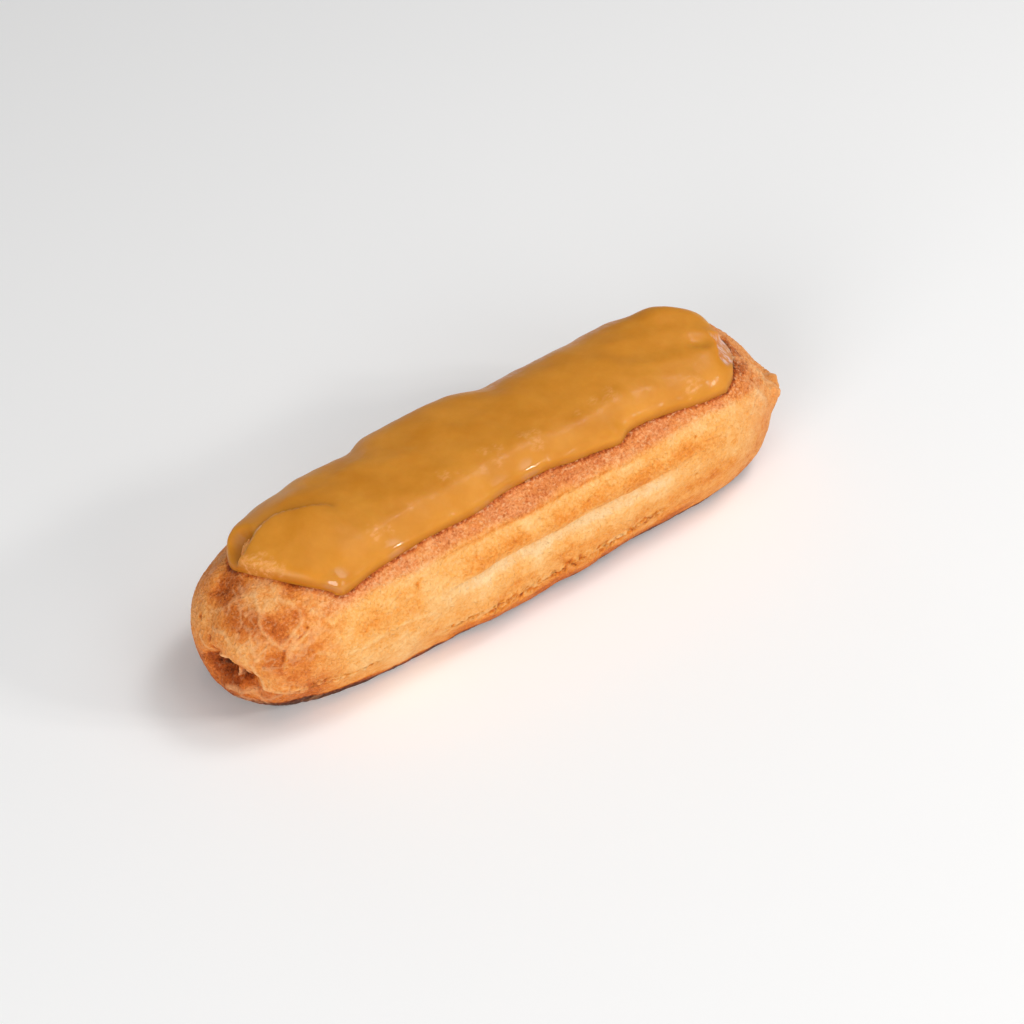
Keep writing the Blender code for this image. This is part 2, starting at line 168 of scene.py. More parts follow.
crust = {
    "around": 272, "along": 332,
    "nearEndRows": (0.27, -0.62),  # this share of the rows along it lies before this run
    "hiddenTop": (0.13, 40), "hiddenBase": (0.87, 130),  # share of the grid lines up to these turns
    "nearEnd": (-50, -60), "farEnd": (50, 68),  # x where each end's look starts, and where it is full
    "lumps": [(8, 0.28), (3.2, 0.14)],  # size, height
    "wrinkleSize": 0.95, "wrinkle": 0.06, "bandWrinkle": 0.10,
    "plateSize": 4.6, "plateDepth": 0.12,
    "tone": 0.25, "nearTone": 0.16, "farTone": 0.12,  # 0 is cream and 1 nearly burnt
    "swaySize": 7, "swayTone": 0.09,  # broad changes of tone
    "browned": (52, 60),  # turns between which the browned band beside the icing ends
    "rimShadeAndSyrup": (0.2, 1.0, 0.28),  # painted shade under the icing's rim, with some syrup darkening: distances from the icing's edge, tone
    "golden": (4, 7, 0.34),  # heights between which the ends turn golden, and how far from burnt they stay
    "bands": [  # from turn, to turn, fade, from x, to x, tone
        # the band from turn 67 to 78.2 is painted shade where the side rolls under the ledge; the pale bands
        # from 78 to 86 are paler dough with painted light where the side below the ledge faces up
        (0, 55, 5, -54, 66, 0.21), (56, 58.6, 1.4, -27, 27, 0.14), (67, 78.2, 5, -24, 46, 0.18),
        (55, 84, 6, -62, -46, 0.08), (78.4, 86, 1.2, -24, 32, -0.12), (78, 84, 5, -28, 34, -0.12),
        # the bands from turn 107 on darken the base: burnt crust, with painted shade low down where the bun
        # meets the floor
        (93, 104, 5, -18, 66, 0.14), (107, 140, 4, -80, -46, 0.16), (107, 140, 4, -20, 80, 0.16),
        (127, 200, 2.5, -76, -42, 0.46), (115, 150, 3, -27, 40, 0.22), (131, 200, 3, -42, 80, 0.26),
    ],
    "baseEdge": (0.7, 2.7, 0.62),  # burnt crust and painted contact shade below this height, level above that one, tone
    "ledges": [  # turn, rise above it, drop below it, from x, to x
        (78.2, 0.45, -0.55, -26, 38), (-77, 0.4, -0.5, -38, 42), (106.5, 0.30, -0.30, -66, -40),
        (107, 0.25, -0.30, -27, 40), (-106, 0.30, -0.35, -60, 50), (57.4, 0.16, -0.14, -28, 27),
    ],
    "lines": [  # points as x and turn, half width, height, tone: pale seams and dark cracks
        ([(-58, 46), (-55.4, 57), (-54.2, 66), (-54.2, 77)], 0.6, 0.18, -0.12),
        ([(-59.0, 59.5), (-62.8, 66.5), (-64.9, 73), (-65.6, 84)], 0.6, 0.22, -0.14),
        ([(-59.4, 57.5), (-61.5, 61.5), (-64.8, 65.5), (-65.6, 72)], 0.45, -0.35, 0.42),
        ([(-65.6, 72), (-65.7, 79), (-65.0, 86)], 0.45, -0.25, 0.14),
        ([(-60.5, 68), (-58.4, 79), (-55, 85.5), (-50, 87), (-45, 84.5), (-36, 85), (-31, 88)],
         0.7, 0.20, -0.12),
        ([(-66, 99.5), (-61, 103), (-55, 106), (-47, 104.5)], 0.9, 0.30, -0.16),
        ([(-64.2, 30), (-62.5, 24), (-60.3, 34)], 0.6, 0.16, -0.12),
        ([(62.5, 30), (64.5, 44), (62.0, 56), (64, 72)], 0.8, 0.30, -0.12),
        ([(67.0, 34), (66.5, 50), (68.5, 66)], 0.8, 0.34, -0.11),
        ([(59.2, 48), (61.8, 60), (58.0, 72)], 0.7, 0.22, -0.10),
    ],
    "patches": [  # x, turn, radius, tone
        (-62.6, 75, 3.2, 0.05), (-47, 73, 3.5, 0.08), (-37.5, 77, 5.5, 0.10),
        (-52.5, 67, 2, 0.08), (-31, 101, 1.2, 0.15),
        (59.9, 36, 2.8, 0.12), (63, 20, 4, 0.10), (-57, 30, 4, 0.10), (30, 60, 5, 0.06), (46, 84, 7, 0.08),
    ],
    "stains": [  # points, radius, height, tone
        ([(-68.9, -5.0, 24.6), (-67.8, -9.6, 24.4)], 5.0, -0.10, 0.21),
        ([(-65.0, -12.4, 25.2), (-61.4, -14.4, 25.6)], 4.8, -0.12, 0.19),
        ([(-64.7, -14.0, 23.8), (-64.2, -14.6, 23.0)], 2.6, -0.05, 0.14),
        ([(-67.3, -15.4, 18.4), (-66.4, -16.2, 16.6)], 3.4, 0.0, 0.14),
        ([(-62.5, -18.1, 17.2), (-60.0, -18.3, 20.0)], 3.6, 0.0, 0.12),
        ([(-63.9, 3.4, 27.6), (-65.4, 1.4, 27.3), (-65.6, -2.0, 27.6)], 3.4, -0.2, 0.30),
        ([(-65.6, 1.0, 27.0), (-67.6, 2.0, 25.2), (-68.3, -0.6, 25.2)], 3.2, -0.1, 0.24),
        ([(-73.2, -3.0, 15.6), (-72.6, -5.0, 10.6)], 3.4, 0.0, 0.02),
    ],
    "ridges": [  # points, half width, height, tone
        ([(-71.4, 2.4, 21.8), (-69.2, -2.0, 24.6), (-66.3, -3.5, 27.0), (-64.3, -5.8, 28.1)],
         0.62, 0.24, -0.10),
        ([(-64.3, -5.8, 28.1), (-65.6, -8.9, 26.5), (-66.8, -10.4, 25.0), (-67.0, -12.0, 23.7),
          (-66.0, -14.4, 22.1), (-65.0, -15.8, 20.9)], 0.58, 0.22, -0.09),
        ([(-72.2, -1.6, 20.6), (-71.7, -5.0, 21.4), (-71.6, -7.6, 20.2), (-70.9, -10.6, 18.9)],
         0.64, 0.28, -0.10),
        ([(-59.3, -14.0, 26.9), (-60.2, -15.6, 25.0), (-62.2, -15.7, 23.8), (-64.8, -15.6, 21.6)],
         0.55, 0.2, -0.08),
        ([(-68.6, -9.6, 23.4), (-69.5, -11.4, 21.2), (-69.8, -12.9, 18.4)], 0.52, 0.18, -0.08),
        ([(-61.6, -9.6, 28.4), (-60.2, -12.2, 27.8), (-59.3, -14.0, 26.9)], 0.52, 0.16, -0.07),
        ([(-70.9, -10.6, 18.9), (-70.2, -12.6, 16.8), (-69.4, -13.2, 13.6), (-68.9, -13.6, 11.4)],
         0.82, 0.42, -0.11),
        ([(-68.9, -13.6, 11.4), (-66.8, -15.7, 10.6), (-62.1, -17.2, 9.2)], 0.66, 0.28, -0.10),
        ([(-72.9, -6.4, 8.6), (-71.5, -9.4, 8.4), (-69.6, -12.0, 9.4)], 0.74, 0.28, -0.10),
        ([(-73.4, 1.6, 17.4), (-73.6, -2.0, 15.4)], 0.66, 0.12, -0.10),
        ([(-66.8, -10.4, 25.0), (-65.0, -9.9, 26.6), (-63.4, -8.6, 28.0)], 0.6, 0.16, -0.07),
        ([(-66.0, -14.4, 22.1), (-68.2, -13.2, 20.4), (-69.8, -12.9, 18.4)], 0.6, 0.16, -0.07),
        ([(-62.2, -15.7, 23.8), (-61.0, -17.4, 20.4), (-61.2, -18.2, 17.4)], 0.6, 0.16, -0.08),
        ([(62.5, -3.0, 31.6), (66.0, -6.6, 28.6), (68.6, -10.4, 24.4), (70.6, -13.2, 21.0)],
         1.1, 0.55, -0.10),
        ([(60.3, -10.6, 30.6), (63.7, -11.3, 28.3), (65.4, -12.9, 25.7), (68.1, -13.5, 22.5),
          (71.2, -13.7, 20.1)], 0.9, 0.45, -0.11),
        ([(66.4, -6.2, 28.8), (67.5, -9.0, 26.6), (68.7, -11.9, 23.5)], 0.85, 0.34, -0.08),
        ([(60.5, -14.8, 27.6), (62.3, -16.4, 24.3), (65.3, -16.7, 20.2)], 0.85, 0.24, -0.07),
    ],
    "hollows": [  # points, radius, height, tone: the filling hole and the pockets in it
        ([(-72.5, -4.6, 13.0), (-70.5, -9.8, 12.0)], 5.0, -1.7, 0.24),
        ([(-71.4, -6.7, 13.2), (-71.2, -6.9, 12.2)], 1.3, -0.8, 0.14),
        ([(-70.8, -9.0, 12.0), (-70.7, -9.2, 11.2)], 1.2, -0.6, 0.14),
        ([(-70.2, -10.5, 11.2), (-70.2, -10.5, 10.8)], 1.1, -0.6, 0.14),
        ([(-71.9, -5.2, 11.8), (-71.9, -5.4, 11.2)], 1.2, -0.5, 0.12),
    ],
    "details": [  # points, radius, height, tone
        ([(-71.9, -4.2, 15.6), (-71.6, -6.2, 15.4)], 1.6, 1.0, -0.16),
        ([(-71.2, -8.0, 12.6), (-71.1, -8.2, 11.4)], 0.9, 0.8, -0.20),
        ([(-70.5, -10.0, 13.2), (-70.4, -9.8, 12.4)], 0.9, 0.5, -0.10),
        ([(-72.7, -1.2, 18.4), (-72.8, -1.6, 18.0)], 0.9, -0.35, 0.30),
        ([(-73.3, -2.4, 16.8), (-73.3, -2.8, 16.4)], 0.9, -0.35, 0.30),
        ([(-71.6, 3.4, 20.4), (-71.7, 3.0, 20.2)], 0.8, -0.3, 0.26),
        ([(-34.4, -20.1, 23.8), (-34.2, -20.2, 23.0)], 0.9, -0.5, 0.30),
        ([(-33.2, -19.9, 24.6), (-33.0, -19.9, 24.4)], 0.6, -0.3, 0.20),
        ([(65.0, -10.0, 28.2), (66.6, -3.0, 28.2)], 2.0, -0.5, 0.14),
        ([(66.5, -2.0, 27.0), (70.5, -6.0, 23.0)], 5.5, -1.2, 0.05),
        ([(68.4, -9.6, 24.6), (70.4, -11.4, 21.6)], 4.4, -2.1, 0.0),
        ([(-73.6, -1.2, 13.0), (-73.2, -3.4, 10.0)], 4.0, -0.7, 0.0),
        ([(63.9, -8.8, 29.5), (64.9, -11.1, 27.6)], 2.2, -0.2, 0.16),
        ([(73.2, -9.6, 18.4), (73.0, -10.6, 16.8)], 2.6, 0.9, -0.05),
        ([(72.4, -8.4, 22.2), (73.2, -8.8, 20.8)], 3.4, -1.6, 0.0),
        ([(66.6, -5.4, 28.2), (67.8, -7.6, 27.0)], 4.0, -1.7, 0.0),
        ([(70.6, -14.8, 20.2), (70.9, -15.2, 18.6)], 2.0, 0.7, -0.05),
        ([(62.5, -13.0, 28.0), (66.0, -12.5, 25.0)], 2.2, 0.5, -0.05),
        ([(-33.0, -19.5, 4.5), (-22.0, -20.0, 4.5)], 7.0, -0.9, 0.0),
        ([(-11.0, -19.8, 4.0), (11.0, -19.6, 4.0)], 7.0, 0.5, 0.0),
    ],
    "flakeSize": 2.6,
    "flakes": [  # from turn, to turn, from x, to x
        (103, 113, -28, -11), (102, 112, -10, 32), (102, 109, -64, -43), (-112, -102, -60, 60),
    ],
    "pits": 26,
    "seed": 5,
    "colours": [  # tone, colour
        (0.0, (253, 212, 156)), (1.0, (84, 36, 8)), (0.16, (252, 196, 126)), (0.32, (247, 172, 88)),
        (0.47, (236, 142, 50)), (0.62, (212, 110, 30)), (0.80, (160, 70, 12)),
    ],
    "pinkerColours": [
        (0.0, (250, 198, 150)), (1.0, (86, 38, 10)), (0.2, (245, 178, 126)), (0.35, (238, 154, 98)),
        (0.5, (222, 128, 72)), (0.65, (194, 96, 44)), (0.82, (148, 64, 18)),
    ],
    "seamColour": (244, 184, 128), "fleckColour": (248, 192, 140), "speckColour": (156, 80, 34),
}


def window(value, low, high, fade):
    return eased(low - fade, low + fade, value) * (1 - eased(high - fade, high + fade, value))


def polyAway(spot, points):  # distance from a bent line on a flat map, and on which side of it
    best, side = 1e9, 1
    for a, b in zip(points, points[1:]):
        line = b - a
        share = min(max((spot - a).dot(line) / line.length_squared, 0.0), 1.0)
        gap = spot - a - line * share
        if gap.length < best:
            best, side = gap.length, math.copysign(1, line.x * gap.y - line.y * gap.x)
    return best, side


mapScale = 0.36  # millimetres to a degree of turn


def onMap(x, turn):
    return Vector((x, turn * mapScale))


def readyLines(lines):
    ready = []
    for points, width, height, tone in lines:
        spots = [onMap(*point) for point in points]
        low, high = min(spot.x for spot in spots) - width, max(spot.x for spot in spots) + width
        ready.append((spots, low, high, width, height, tone))
    return ready


seamLines = readyLines(crust["lines"])


def plates(point, size):  # 0 on the lines of a cracked skin, and a tone for each plate
    jitter = noise.noise_vector(point / (size * 0.45)) * 0.45
    distances, centres = noise.voronoi(point / size + jitter)
    return distances[1] - distances[0], noise.cell(centres[0] * 7.3)


def ledgeLift(x, turn, sway):  # each ledge swells towards its edge, drops over it and runs out below
    lift = 0.0
    for middle, rise, drop, start, end in crust["ledges"]:
        away = (turn - middle) * math.copysign(1, middle) + sway
        if abs(away) < 16:
            over = eased(-0.9, 0.9, away)
            swell = rise * eased(-16, -2, away) * (1 - over) + drop * over * (1 - eased(1, 11, away))
            lift += window(x, start, end, 5) * swell
    return lift


def readyStrokes(strokes):
    ready = []
    for points, radius, height, tone in strokes:
        spots = [Vector(point) for point in points]
        reach = 1.3 * radius
        low, high = min(spot.x for spot in spots) - reach, max(spot.x for spot in spots) + reach
        ready.append((spots, low, high, radius, height, tone))
    return ready


crustStrokes = readyStrokes(crust["stains"] + crust["ridges"] + crust["details"])
hollowStrokes = readyStrokes(crust["hollows"])


def strokeShares(point, strokes):  # how near the point is to the middle of each stroke, from 0 to 1
    for spots, low, high, radius, height, tone in strokes:
        if low < point.x < high:
            away = min(awayFrom(point, a, b) for a, b in zip(spots, spots[1:]))
            away += 0.3 * radius * noise.noise(point / max(0.6 * radius, 1.0) + Vector((4, 4, 9)))
            if away < radius:
                yield 1 - eased(0.1 * radius, radius, away), height, tone


def bandTone(x, side, sway, drift):
    tone = 0.0
    for low, high, fade, start, end, tint in crust["bands"]:
        tone += tint * window(side + 0.9 * fade * sway + drift, low, high, fade) * window(x, start, end, 6)
    return tone


def patchTone(point, spot):
    tone = 0.0
    for x, turn, radius, tint in crust["patches"]:
        if abs(spot.x - x) < 1.6 * radius:
            away = (spot - onMap(x, turn)).length + 0.7 * radius * noise.noise(point / 3)
            tone += tint * (1 - eased(0.4 * radius, 1.2 * radius, away))
    return tone


def seamDetail(point, spot):  # height and tone of the pale seams and dark cracks
    lift = tone = 0.0
    for points, start, end, width, height, tint in seamLines:
        if start < spot.x < end:
            away = polyAway(spot, points)[0] + 0.35 * width * noise.noise(point * 0.9)
            if away < width:
                near = 0.75 + 0.9 * noise.noise(point * 0.9 + Vector((1, 9, 4)))
                near *= 1 - eased(0.15 * width, width, away)
                if tint > 0:  # a crack comes and goes
                    near *= eased(-0.3, 0.2, noise.noise(point * 1.3 + Vector((2, 2, 7))))
                lift += height * near
                tone += tint * near
    return lift, tone


def flakeDetail(point, turn, sway):  # height and tone of the split, flaky skin above the base
    lift = tone = 0.0
    for low, high, start, end in crust["flakes"]:
        if start - 3 < point.x < end + 3:
            zone = window(turn + 3 * sway, low, high, 1.5) * window(point.x, start, end, 3)
            if zone > 0:
                edge, flake = plates(point, crust["flakeSize"])
                split = 1 - eased(0.02, 0.22, edge)
                lift += zone * (0.30 * flake - 0.45 * split)
                tone += zone * (0.30 * split + 0.10 * flake - 0.05)
    return lift, tone


def crustDetail(point, angle, pits):  # height above the smooth crust, and the tones that its finish reads
    x, z = point.x, point.z
    turn = math.degrees(angle)
    side = abs(turn)
    spot = onMap(x, turn)
    sway = noise.noise(point / crust["swaySize"] + Vector((3, 1, 8)))
    drift = 3.2 * noise.noise(Vector((x / 17, 2, 5))) + 1.2 * noise.noise(Vector((x / 5, 7, 5)))  # degrees
    nearEnd, farEnd = eased(*crust["nearEnd"], x), eased(*crust["farEnd"], x)
    band = (1 - eased(*crust["browned"], side + 5 * sway + drift)) * (1 - 0.75 * nearEnd)

    lift = sum(height * noise.noise(point / size) for size, height in crust["lumps"])
    wrinkle = 1 - 3.2 * abs(noise.noise(Vector((x * 0.75, point.y, z)) / crust["wrinkleSize"]))
    lift += (crust["wrinkle"] + crust["bandWrinkle"] * max(band, 0.35 * farEnd, 0.5 * nearEnd)) * wrinkle
    lift += ledgeLift(x, turn, drift)
    edge, plate = plates(point, crust["plateSize"])
    showing = max(nearEnd, 0.5 * farEnd) * eased(-0.2, 0.2, noise.noise(point / 9 + Vector((5, 5, 1))))
    line = 0.6 * (1 - eased(0.02, 0.14, edge)) * showing
    lift += crust["plateDepth"] * line

    # the bake's tone, with painted shade and light from the bands, the base and the icing's rim added in
    brownAndShade = crust["tone"] + crust["swayTone"] * sway
    brownAndShade += nearEnd * (crust["nearTone"] + 0.04 * plate) + farEnd * crust["farTone"]
    # darker towards the floor: burnt crust and painted contact shade
    burntAndShaded, level, tint = crust["baseEdge"]
    brownAndShade += tint * (1 - eased(burntAndShaded, level, z + 1.6 * sway))
    brownAndShade += bandTone(x, side, sway, drift) + patchTone(point, spot)
    for height, tint in (seamDetail(point, spot), flakeDetail(point, turn, sway)):
        lift += height
        brownAndShade += tint
    for near, height, tint in strokeShares(point, crustStrokes):
        lift += height * near
        brownAndShade += tint * near
        line = max(line, min(-7 * tint, 1) * near)
    for centre, radius, depth in pits:
        if abs(x - centre.x) < radius:
            near = 1 - eased(0, radius, (point - centre).length)
            lift -= depth * near
            brownAndShade += 0.25 * near
    low, high, share = crust["golden"]
    brownAndShade = min(brownAndShade, 1 - share * max(nearEnd, farEnd) * eased(low, high, z))
    for near, height, tint in strokeShares(point, hollowStrokes):
        lift += height * near * (1 + 1.3 * noise.noise(point / 1.7))
        brownAndShade += near * (tint + 0.2 * noise.noise(point / 1.5 + Vector((2, 8, 1))))
    # painted shade under the icing's rim, with some syrup darkening of the crust
    close, clear, tint = crust["rimShadeAndSyrup"]
    brownAndShade += tint * (1 - eased(close, clear, rimAway(point)[0]))
    rosy = max(0.9 * band * (1 - 0.55 * farEnd), 0.36 * nearEnd, 0.45 * farEnd)
    return lift, {"browningAndShade": brownAndShade, "split": line, "band": band, "rosy": rosy}


def finishPiece(bm, name, shift=(0, 0, 0)):
    bmesh.ops.translate(bm, verts=bm.verts, vec=shift)
    bmesh.ops.scale(bm, verts=bm.verts, vec=(0.001, 0.001, 0.001))
    bmesh.ops.recalc_face_normals(bm, faces=bm.faces)
    mesh = bpy.data.meshes.new(name)
    bm.to_mesh(mesh)
    bm.free()
    mesh.shade_smooth()
    piece = bpy.data.objects.new(name, mesh)
    bpy.context.scene.collection.objects.link(piece)
    return piece


def spreadTurn(angle):  # more of the grid lines go where the crust is seen
    share = abs(angle) / math.pi
    (lowShare, lowTurn), (highShare, highTurn) = crust["hiddenTop"], crust["hiddenBase"]
    if share < lowShare:
        turn = lowTurn * share / lowShare
    elif share < highShare:
        turn = lowTurn + (highTurn - lowTurn) * (share - lowShare) / (highShare - lowShare)
    else:
        turn = highTurn + (180 - highTurn) * (share - highShare) / (1 - highShare)
    return math.copysign(math.radians(turn), angle)


def spreadRun(share):  # more of the rows go to the near end
    rows, reach = crust["nearEndRows"]
    if share < rows:
        return -1 + (reach + 1) * share / rows
    return reach + (1 - reach) * (share - rows) / (1 - rows)


def makeCrust():
    random.seed(crust["seed"])
    pits = []
    for _ in range(crust["pits"]):
        turn = random.choice((-1, 1)) * random.uniform(48, 104)
        middle = bunSurface(random.uniform(-0.8, 0.8), math.radians(turn))[0]
        pits.append((middle, random.uniform(0.4, 0.7), random.uniform(0.12, 0.35)))  # radius, depth
    bm = bmesh.new()
    layers = {name: bm.verts.layers.float.new(name) for name in ("browningAndShade", "split", "band", "rosy")}
    bmesh.ops.create_uvsphere(bm, u_segments=crust["around"], v_segments=crust["along"], radius=1)
    for vert in bm.verts:
        run = spreadRun(math.asin(min(max(vert.co.z, -1), 1)) / math.pi + 0.5)
        turn = spreadTurn(math.atan2(vert.co.y, vert.co.x))
        point, way = bunSurface(run, turn)
        lift, tones = crustDetail(point, turn, pits)
        vert.co = point + way * lift
        if vert.co.z < 0:  # the flat base
            vert.co.z = 0
            tones["browningAndShade"] = 0.7 + 0.1 * noise.noise(point / 4)
        for name, layer in layers.items():
            vert[layer] = tones[name]
    return finishPiece(bm, "chouxCrust", bun["shift"])


# the coat of icing

icing = {
    "along": 250, "across": 112,
    "thickness": 1.8, "root": -0.35, "foot": -0.1, "reach": 0.7,
    "rims": (1.4, 1.2, 2.2, 2.4),  # width of the rounded rim: near side, far end, far side, near end
    "quickShare": 0.30, "farShare": 0.9, "fatShare": 0.75,  # how much of the height the rim takes
    "slowWidth": 7,  # where the rest of the height is reached
    "rimSpots": [(-51, 4.0, 5), (-36.5, 2.9, 3), (-7, 2.4, 4), (0, 2.7, 3)],  # x, width of the rim, reach
    "drops": [  # x, turn, radius, height, gloss: where the rim is fat and wet
        (-50.8, 40.0, 3.0, 0.34, 1.0), (-36.5, 39.8, 2.6, 0.22, 1.0), (-8.0, 36.6, 3.4, 0.12, 0.5),
        (-0.5, 34.4, 2.8, 0.2, 0.9), (-15.2, 40.4, 0.9, 0.14, 0.7), (-12.6, 39.8, 0.9, 0.14, 0.7),
        (8.3, 38.4, 0.9, 0.14, 0.3), (12.8, 40.0, 0.9, 0.12, 0.25),
    ],
    "waveSize": 14, "waveHeight": 0.35,
    "ripples": [(5, 0.18), (2.4, 0.05), (1.3, 0.025)],  # size, height
    "lumps": (3.3, 0.13, 10, 40),  # size, height, from turn, to turn
    "corners": [(-50.5, -17.2, 9), (53.5, -16, 6), (-50, 13, 6), (52, 12, 6)],  # x, y, reach
    "cornerRounds": 14,
    "endFilmAndSheen": (55.9, 12, 33), "filmThickness": 0.24,  # clear skin at the far end, its whitish streaks partly a painted highlight: from x, turns
    "sideFilmAndSheen": (6, 50, -60, -28.5, 0.42),  # dried clear along the far edge, its whitish colour partly a painted reflection of the backdrop: x, turns, how clear
    "paintedSheen": [  # x, turn, radius, strength: painted soft highlights, where the skin is painted paler and shines softly
        (-38.6, 27, 2.2, 0.6), (-35.4, 28.5, 1.4, 0.4), (-17.6, 15.5, 1.9, 0.5), (-15.0, 18, 1.3, 0.35),
        (-6.4, 13.5, 1.7, 0.5), (-3.6, 15, 1.5, 0.5), (-6.0, 22, 1.7, 0.45), (-9.8, 23, 1.2, 0.35),
        (2.8, 15, 1.6, 0.55), (5.8, 16.5, 1.5, 0.45), (4.4, 22, 2.5, 0.5), (22.4, 16, 1.5, 0.45),
        (26.6, 17, 1.9, 0.55), (24.2, 19.5, 1.2, 0.35), (44.6, 36, 2.5, 0.6), (46.8, 33.5, 1.5, 0.4),
        (17.2, 18, 1.2, 0.3), (-28.6, 22, 1.4, 0.3),
        (-61.6, 0, 2.0, 0.8), (-60.4, 5, 2.6, 0.9), (-59.0, 11, 2.4, 0.7), (-58.0, 16, 1.8, 0.5),
    ],
    "nearSide": [
        (-51.8, 47.5), (-50.4, 49.8), (-48.2, 49.2), (-42, 45.5), (-37, 44), (-31, 42.4), (-24, 41.7),
        (-15, 41.7), (-9, 39), (-3, 38), (5, 38.4), (10, 41), (18, 43.5), (23, 45.5), (27, 41), (35, 42),
        (43, 46), (48, 48), (53.5, 49),
    ],
    "farSide": [
        (-49, -54), (-40, -51), (-30, -48), (-20, -52), (-10, -54), (0, -50),
        (10, -46), (22, -48), (33, -45), (43, -48), (51, -47),
    ],
    "nearEnd": [
        (-51.8, 47.5), (-52.6, 43.5), (-56, 33), (-59.3, 19), (-61.8, 5),
        (-63.4, -7), (-63.5, -19), (-61.5, -30), (-55.5, -42), (-49, -54),
    ],
    "farEnd": [
        (53.2, 49), (56.5, 43), (58.6, 35), (60.8, 27.5), (61.8, 18),
        (61.7, 7), (62.0, -6), (61.2, -19), (58.4, -34), (51, -47),
    ],
    "bumps": [
        ((-49.5, -17, 28), (-48, -17, 28.5), 5, 0.8),
        ((-24, -2, 34.5), (20, -1, 34.5), 9, -0.3),
    ],
    "lap": (  # points in plan, height, width: it drops off towards +Y
        [(-63.2, 0.0), (-60.8, 0.7), (-58.3, 1.5), (-56.2, 2.6), (-53.9, 3.3),
         (-51.8, 3.3), (-50.2, 2.6), (-48.2, 1.4), (-46.2, 0.4), (-43.0, -1.0)], 1.2, 6.0,
    ),
    "lapEnd": (-46, -40), "lapShine": (-58.5, -53), "lapShade": (-62, -46),  # from x, to x
    "pocket": ([(-61.0, 2.6), (-59.4, 4.6), (-57.2, 6.2)], 2.5, -2.1),  # under the lap
    "strokes": [  # points in plan, radius, height
        ([(-52, -12.8), (-44.3, -13.3), (-32.9, -12.6), (-26.1, -12.1), (-13.9, -13.2), (-2.2, -13.5),
          (8.9, -13.1), (19.6, -13.5)], 3.0, -0.14),
        ([(-38.5, -10.4), (-33.7, -9.7)], 3.2, 0.20),
        ([(-18.5, -9.6), (-14.2, -9.9)], 3.0, 0.18),
        ([(-5.6, -8.6), (5.5, -8.3)], 3.0, 0.18),
        ([(16.1, -9.9), (28.6, -8.9)], 3.0, 0.18),
        ([(43.8, -13.9), (46.0, -13.6)], 3.0, 0.25),
        ([(-34, -1.1), (-22, -4.2), (-11.6, 0.5)], 6.0, -0.25),
        ([(-24, 7.0), (-10, 9.4)], 6.0, -0.25),
        ([(54.6, -6.4), (53.0, -5.6)], 3.0, -0.85),
        ([(52.5, -5.2), (47, -3.4), (38, -0.5)], 5.0, -0.55),
        ([(20.5, -14.5), (26.0, -13.9), (32.0, -13.6)], 3.6, 0.40),
        ([(22.3, -14.6), (22.9, -14.6)], 1.9, 0.20),
        ([(-58.9, -1.8), (-56.2, -3.0), (-56.4, -5.6)], 1.6, 0.12),
        ([(-57.0, 9.8), (-60.0, 7.0), (-61.6, 4.0), (-61.9, 1.0), (-61.2, -2.0), (-59.8, -5.0)], 2.2, 0.45),
        ([(-58.8, 8.8), (-55.5, 10.6)], 3.0, 0.8),
        ([(-39, 12.0), (-30, 13.6)], 6.0, 1.2),
        ([(30, 11.3), (52, 8.8)], 8.0, 0.35),
        ([(46, 9.3), (53, 7.2)], 6.0, 0.35),
        ([(53, 6.0), (60.0, 2.2)], 6.0, 1.3),
    ],
    # the rim colour is the thin caramel's, and partly painted shade where the rim meets the crust; the shade
    # colour is painted shade; the pale colour is a painted soft highlight; the film and sugar colours are a
    # dried film, partly a painted reflection of the backdrop
    "colours": ((199, 126, 30), (215, 143, 48)), "thinRimAndShadeColour": (180, 102, 16), "shadeColour": (150, 86, 22),
    "paintedSheenColour": (234, 168, 104), "filmAndSheenColour": (214, 138, 84), "sugarAndSheenColour": (236, 208, 204),
}
icingBumps = readyBumps(icing["bumps"])


def readyStroke(points, *sizes):
    return [Vector(point) for point in points], *sizes


lap, pocket = readyStroke(*icing["lap"]), readyStroke(*icing["pocket"])
strokes = [readyStroke(*stroke) for stroke in icing["strokes"]]


def followCurve(points, share):
    steps = [math.hypot(b[0] - a[0], (b[1] - a[1]) * mapScale) for a, b in zip(points, points[1:])]
    left = share * sum(steps)
    index = 0
    while index < len(steps) - 1 and left > steps[index]:
        left -= steps[index]
        index += 1
    t = min(left / steps[index], 1.0)
    near = [Vector(points[min(max(index + shift, 0), len(points) - 1)]) for shift in (-1, 0, 1, 2)]
    return (
        near[1]
        + (near[2] - near[0]) * (t / 2)
        + (near[0] * 2 - near[1] * 5 + near[2] * 4 - near[3]) * (t * t / 2)
        + (near[1] * 3 - near[0] - near[2] * 3 + near[3]) * (t * t * t / 2)
    )


@lru_cache(maxsize=None)
def edgePoint(edge, share):
    return followCurve(icing[edge], share)


def icingPlace(u, v):
    sides = edgePoint("nearSide", u) * (1 - v) + edgePoint("farSide", u) * v
    ends = edgePoint("nearEnd", v) * (1 - u) + edgePoint("farEnd", v) * u
    corners = (Vector(icing["nearSide"][0]) * (1 - u) + Vector(icing["nearSide"][-1]) * u) * (1 - v)
    corners += (Vector(icing["farSide"][0]) * (1 - u) + Vector(icing["farSide"][-1]) * u) * v
    x, turn = sides + ends - corners
    return runAt(x), math.radians(turn)


def stepsUpTo(steps):
    return [index / steps for index in range(steps)]


